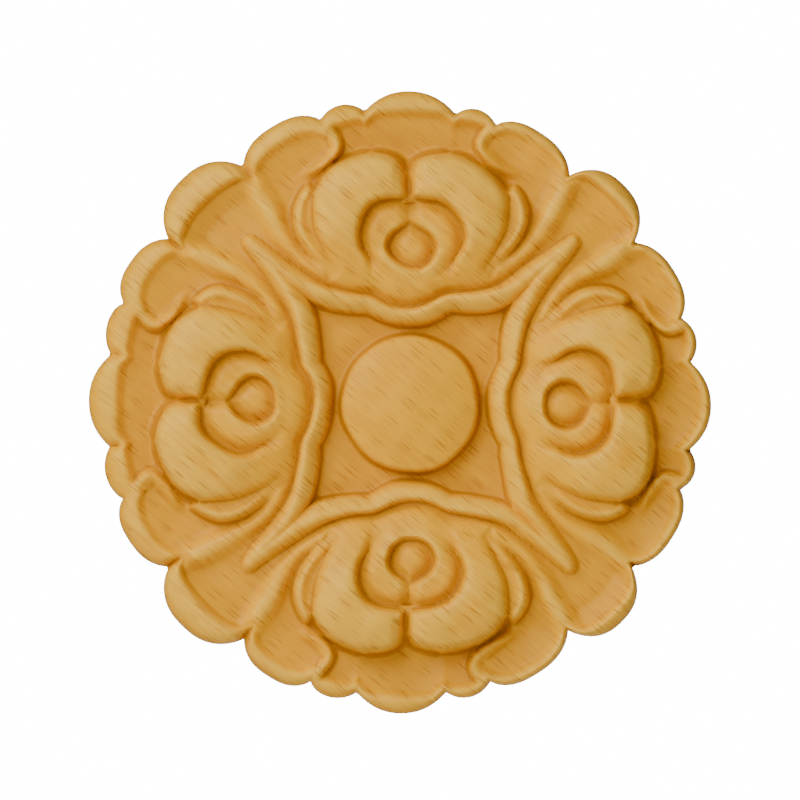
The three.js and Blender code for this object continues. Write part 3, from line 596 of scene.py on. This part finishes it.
# Rows of the wall as shares of its height, and of the back as shares of the way out. The two outer rows of
# the back keep its shading flat.
WALL_ROWS = (0.7, 0.4, 0.1)
BACK_ROWS = (0.994, 0.985, 0.6, 0.0)

# Rows are circles up to this share of the way out, and take on the lobes of the outline beyond it
ROUND_INSIDE = 0.6

# Creases and hollows are measured against the heights a few rows and steps around, from where the rows are
# close enough
EVEN_ROWS = (0.19, 0.23)
BLUR_ROUNDS = 3
CREASE_REACH = 1
GOUGE_REACH = 2
HOLLOW_REACH = 7

# The gouge leaves the bottom of a crease round: what lies deeper than this is filled by a share. It ends at
# the rim.
GOUGE_DEPTH = 0.55
GOUGE_FILL = 0.55
GOUGE_END = (0.95, 0.93)

# Corners of the sheet closer than this many millimetres are one. Faces that meet at less than this angle
# are shaded smooth, which leaves the edge round the back sharp.
MERGE_GAP = 0.001
SMOOTH_ANGLE = radians(65)


def blurred(values, reach):
    """Heights evened out over a number of rows and steps. The last step round is the first one again."""
    window = 2 * reach + 1
    values = values[:, :-1]
    for _ in range(BLUR_ROUNDS):
        rows = np.pad(values, ((reach, reach), (0, 0)), mode="edge")
        sums = np.cumsum(np.pad(rows, ((1, 0), (0, 0))), axis=0)
        values = (sums[window:] - sums[:-window]) / window
        steps = np.pad(values, ((0, 0), (reach, reach)), mode="wrap")
        sums = np.cumsum(np.pad(steps, ((0, 0), (1, 0))), axis=1)
        values = (sums[:, window:] - sums[:, :-window]) / window
    return np.hstack([values, values[:, :1]])


def carve_block():
    """The block with its carved front. Each corner keeps how deep it lies in a crease and in a hollow."""
    rows = len(FRONT_ROWS) + len(WALL_ROWS) + len(BACK_ROWS)
    bpy.ops.object.select_all(action="DESELECT")
    bpy.ops.mesh.primitive_grid_add(x_subdivisions=ROUND_STEPS, y_subdivisions=rows - 1, size=2)
    block = bpy.context.object
    block.name = "carved_rosette"
    mesh = block.data
    corners = np.empty(len(mesh.vertices) * 3)
    mesh.vertices.foreach_get("co", corners)
    corners = corners.reshape(rows, ROUND_STEPS + 1, 3)

    # The sheet is 2 wide, from -1 to 1, and its width is wrapped once round
    turn = np.pi * (1 + corners[0, :, 0])
    turn[-1] = turn[0]
    sine = np.sin(turn)
    cosine = np.cos(turn)
    edge = outline(*drifted(PLAN_RADIUS * sine, PLAN_RADIUS * cosine))
    share = np.concatenate([FRONT_ROWS, np.ones(len(WALL_ROWS)), BACK_ROWS])[:, None]
    reach = share * blend(PLAN_RADIUS, edge, ease(ROUND_INSIDE, 1, share))
    x = reach * sine
    z = reach * cosine

    front = len(FRONT_ROWS)
    carved = carved_height(x[:front].ravel(), z[:front].ravel()).reshape(front, -1)
    even_rows = ease(*EVEN_ROWS, share[:front])
    crease = (blurred(carved, CREASE_REACH) - carved) * even_rows
    too_deep = np.clip(blurred(carved, GOUGE_REACH) - carved - GOUGE_DEPTH, 0, None)
    carved = carved + GOUGE_FILL * too_deep * even_rows * ease(*GOUGE_END, share[:front])
    hollow = (blurred(carved, HOLLOW_REACH) - carved) * even_rows

    heights = np.zeros_like(x)
    heights[:front] = carved
    heights[front:front + len(WALL_ROWS)] = EDGE_HEIGHT * np.array(WALL_ROWS)[:, None]
    corners[:, :, 0] = x * SHARE * MM
    corners[:, :, 1] = -heights * MM
    corners[:, :, 2] = z * SHARE * MM
    mesh.vertices.foreach_set("co", corners.ravel())
    for name, front_depth in (("crease", crease), ("hollow", hollow)):
        depth = np.zeros_like(heights)
        depth[:front] = front_depth
        mesh.attributes.new(name, "FLOAT", "POINT").data.foreach_set("value", depth.ravel())

    bpy.ops.object.mode_set(mode="EDIT")
    bpy.ops.mesh.select_all(action="SELECT")
    bpy.ops.mesh.remove_doubles(threshold=MERGE_GAP * MM)
    bpy.ops.mesh.normals_make_consistent(inside=False)
    bpy.ops.object.mode_set(mode="OBJECT")
    bpy.ops.object.shade_smooth_by_angle(angle=SMOOTH_ANGLE)
    return block


# Finish

def linear(code):
    """A colour written as sRGB hex, as the linear values that a shader takes."""
    parts = [int(code[i:i + 2], 16) / 255 for i in (1, 3, 5)]
    return [p / 12.92 if p <= 0.04045 else ((p + 0.055) / 1.055) ** 2.4 for p in parts] + [1.0]


def add(tree, kind, links=None, **settings):
    """Adds a node with its settings; links gives a value or another node's output for each input."""
    node = tree.nodes.new(kind)
    for name, value in settings.items():
        setattr(node, name, value)
    for name, value in (links or {}).items():
        if isinstance(value, bpy.types.NodeSocket):
            tree.links.new(value, node.inputs[name])
        else:
            node.inputs[name].default_value = value
    return node


# Colours of the oiled wood
HONEY = "#E6A505"
# Paler on the high spots, partly where the finish is rubbed off and partly a painted highlight
PALE_HONEY_WEAR_AND_HIGHLIGHT = "#EEC040"
# Painted shade: a darker, stronger orange in the hollows, with some oil lying deeper there
HOLLOW_SHADE_ORANGE = "#D29300"
# Painted shade in the creases, a dark brown, with some oil pooled there
CREASE_SHADE_BROWN = "#9E5E00"
FLECK_BROWN = "#8C4206"

# Depths in millimetres between which a tint comes in, and its share at both
# The hollow tint is painted shade
HOLLOW_DEPTHS = (-0.2, 0.9)
# The high-spot tint is a painted highlight over rubbed wear
HIGH_SPOT_DEPTHS = (-1.0, -0.3)
HIGH_SPOT_SHARES = (0.5, 0)
# The crease tint is painted shade
CREASE_DEPTHS = (0.1, 0.45)
CREASE_SHARES = (0, 0.6)

# The grain runs down to the right. Sizes of its patterns are length, depth and width in millimetres. The
# streaks are growth rings cut lengthwise, about a millimetre wide. The fibres of beech are a fiftieth of a
# millimetre wide, too fine to show, and are drawn ten times as wide. Its ray flecks are 2 to 3 mm long and
# a tenth of a millimetre wide, and are drawn twice as wide, with ends that fade out.
GRAIN_ANGLE = radians(40)
GRAIN_SIZES = {
    "streaks": (26, 26, 1.1),
    "fibres": (9, 9, 0.22),
    "clouds": (28, 14, 14),
    "flecks": (4.4, 4.0, 0.2),
}

# Tints that follow noise: pattern, detail, values of the noise between which the tint comes in, its full
# share and its colour
NOISE_TINTS = (
    ("streaks", 3, (0.4, 0.7), 0.35, "#CC8208"),
    ("fibres", 2, (0.45, 0.8), 0.45, "#C47A08"),
    ("clouds", 2, (0.4, 0.7), 0.25, "#D69A0A"),
)

# Spacing of the flecks, and how far from their middles they end and are full, in fleck sizes. Fewer than
# half of them show, some more than others.
FLECK_SPACING = 1.15
FLECK_FADE = (0.5, 0.25)
FLECK_CHOICE = (0.55, 1)
FLECK_SHARES = (0, 0.75)


def tinted(tree, colour, value, span, shares, tint):
    """A colour with a tint over it, which goes from one share to the other as a value crosses its span."""
    share = add(tree, "ShaderNodeMapRange", {
        0: value, 1: span[0], 2: span[1], 3: shares[0], 4: shares[1],
    }, interpolation_type="SMOOTHSTEP")
    mix = add(tree, "ShaderNodeMix", {0: share.outputs[0], 6: colour, 7: tint}, data_type="RGBA")
    return mix.outputs[2]


def oiled_beech():
    """Carved beech, sanded and oiled, with a soft sheen. The hollows are a stronger orange, which is
    painted shade with some oil lying deeper there. The high spots are a pale honey, partly where the finish
    is rubbed off and partly a painted highlight, and the creases carry painted shade in brown. Short dark
    ray flecks run down to the right."""
    beech = bpy.data.materials.new("oiled_beech")
    beech.use_nodes = True
    tree = beech.node_tree
    tree.nodes.clear()
    hollow = add(tree, "ShaderNodeAttribute", attribute_name="hollow").outputs["Fac"]
    crease = add(tree, "ShaderNodeAttribute", attribute_name="crease").outputs["Fac"]
    # Painted shade in the hollows
    colour = tinted(tree, linear(HONEY), hollow, HOLLOW_DEPTHS, (0, 1), linear(HOLLOW_SHADE_ORANGE))
    # Painted highlight and rubbed wear on the high spots
    colour = tinted(tree, colour, hollow, HIGH_SPOT_DEPTHS, HIGH_SPOT_SHARES, linear(PALE_HONEY_WEAR_AND_HIGHLIGHT))

    place = add(tree, "ShaderNodeTexCoord").outputs["Object"]
    along_grain = {}
    for name, size in GRAIN_SIZES.items():
        stretched = add(tree, "ShaderNodeMapping", {
            "Vector": place, "Rotation": (0, GRAIN_ANGLE, 0), "Scale": [length * MM for length in size],
        }, vector_type="TEXTURE")
        along_grain[name] = stretched.outputs["Vector"]
    noises = {}
    for name, detail, span, share, code in NOISE_TINTS:
        noise = add(tree, "ShaderNodeTexNoise", {
            "Vector": along_grain[name], "Scale": 1.0, "Detail": detail,
        })
        noises[name] = noise.outputs["Fac"]
        colour = tinted(tree, colour, noises[name], span, (0, share), linear(code))

    flecks = add(tree, "ShaderNodeTexVoronoi", {
        "Vector": along_grain["flecks"], "Scale": 1 / FLECK_SPACING,
    })
    choice = add(tree, "ShaderNodeSeparateXYZ", {0: flecks.outputs["Color"]})
    fleck = tinted(tree, colour, choice.outputs["X"], FLECK_CHOICE, FLECK_SHARES, linear(FLECK_BROWN))
    fade = [reach / FLECK_SPACING for reach in FLECK_FADE]
    colour = tinted(tree, colour, flecks.outputs["Distance"], fade, (0, 1), fleck)
    # Painted shade along the creases
    colour = tinted(tree, colour, crease, CREASE_DEPTHS, CREASE_SHARES, linear(CREASE_SHADE_BROWN))

    bump = add(tree, "ShaderNodeBump", {
        "Strength": 0.25, "Distance": 0.05 * MM, "Height": noises["streaks"],
    })
    # Linseed oil has this IOR, and most of it has sunk in, which leaves the sheen weak
    shader = add(tree, "ShaderNodeBsdfPrincipled", {
        "Base Color": colour, "Roughness": 0.48, "IOR": 1.47, "Specular IOR Level": 0.15,
        "Normal": bump.outputs["Normal"],
    })
    add(tree, "ShaderNodeOutputMaterial", {"Surface": shader.outputs["BSDF"]})
    return beech


# Studio

# Sizes and places are in metres
FLOOR_SIZE = 0.9
FLOOR_HEIGHT = -0.13
FLOOR_COLOUR = "#EFEDE8"
FLOOR_ROUGHNESS = 0.9

# Strength and colour of the light all round and of the light behind, and how much of a direction points
# backwards where the one goes over into the other
ROOM_STRENGTH = 0.32
ROOM_COLOUR = "#FFF8EE"
BEHIND_STRENGTH = 16.0
BEHIND_COLOUR = "#FFFFFF"
BEHIND_FROM = 0.97
BEHIND_FULL = 0.995

# Lamps: name, place, size, watts and colour
LAMPS = (
    ("key_lamp", (-0.45, -1.0, 0.45), 0.6, 10.8, "#FFFFFF"),
    ("raking_lamp", (-0.7, -0.5, 0.7), 0.4, 6.8, "#FFFFFF"),
    ("warm_lamp", (0.5, -0.9, -0.55), 0.9, 6.4, "#FFE8C4"),
)

# The photograph is square. The carving's radius and the middle of the button are given in its pixels, and
# PIXEL is the size of one of them on the carving.
PHOTO_SIZE = 800
RADIUS_PIXELS = 310
MIDDLE_PIXEL = (410.5, 404.0)
PIXEL = RADIUS / RADIUS_PIXELS * MM
CAMERA_DISTANCE = 3.0
CAMERA_SIGHT = 20.0
SENSOR = 36.0


def lay_floor():
    """A pale floor with matt paint below the rosette."""
    paint = bpy.data.materials.new("pale_floor_paint")
    paint.use_nodes = True
    shader = paint.node_tree.nodes["Principled BSDF"]
    shader.inputs["Base Color"].default_value = linear(FLOOR_COLOUR)
    shader.inputs["Roughness"].default_value = FLOOR_ROUGHNESS
    bpy.ops.object.select_all(action="DESELECT")
    bpy.ops.mesh.primitive_plane_add(size=FLOOR_SIZE, location=(0, 0, FLOOR_HEIGHT))
    floor = bpy.context.object
    floor.name = "floor"
    floor.data.materials.append(paint)


def light_studio():
    """White light all round, brightest behind, with a key lamp and a raking lamp from the upper left and a
    warm lamp from the lower right."""
    world = bpy.data.worlds.new("studio")
    world.use_nodes = True
    bpy.context.scene.world = world
    tree = world.node_tree
    tree.nodes.clear()
    direction = add(tree, "ShaderNodeTexCoord").outputs["Generated"]
    backwards = add(tree, "ShaderNodeSeparateXYZ", {0: direction}).outputs["Y"]
    behind = add(tree, "ShaderNodeMapRange", {0: backwards, 1: BEHIND_FROM, 2: BEHIND_FULL})
    strength = add(tree, "ShaderNodeMapRange", {
        0: backwards, 1: BEHIND_FROM, 2: BEHIND_FULL, 3: ROOM_STRENGTH, 4: BEHIND_STRENGTH,
    })
    colour = add(tree, "ShaderNodeMix", {
        0: behind.outputs[0], 6: linear(ROOM_COLOUR), 7: linear(BEHIND_COLOUR),
    }, data_type="RGBA")
    light = add(tree, "ShaderNodeBackground", {
        "Color": colour.outputs[2], "Strength": strength.outputs[0],
    })
    add(tree, "ShaderNodeOutputWorld", {"Surface": light.outputs["Background"]})
    for name, place, size, watts, code in LAMPS:
        lamp = bpy.data.lights.new(name, "AREA")
        lamp.size = size
        lamp.energy = watts
        lamp.color = linear(code)[:3]
        holder = bpy.data.objects.new(name, lamp)
        holder.location = place
        holder.rotation_euler = (-holder.location).to_track_quat("-Z", "Y").to_euler()
        bpy.context.collection.objects.link(holder)


def place_camera():
    """A long lens straight in front. The middle of the button lies at its pixel of the photograph."""
    camera = bpy.data.cameras.new("camera")
    camera.sensor_width = SENSOR
    camera.lens = SENSOR * CAMERA_DISTANCE / (PHOTO_SIZE * PIXEL)
    camera.clip_end = CAMERA_SIGHT
    holder = bpy.data.objects.new("camera", camera)
    right = (PHOTO_SIZE / 2 - MIDDLE_PIXEL[0]) * PIXEL
    up = (MIDDLE_PIXEL[1] - PHOTO_SIZE / 2) * PIXEL
    holder.location = (right, -CAMERA_DISTANCE, up)
    holder.rotation_euler = (radians(90), 0, 0)
    bpy.context.collection.objects.link(holder)
    bpy.context.scene.camera = holder


rosette = carve_block()
rosette.data.materials.append(oiled_beech())
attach(rosette, "root")
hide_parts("rosette")
lay_floor()
light_studio()
place_camera()
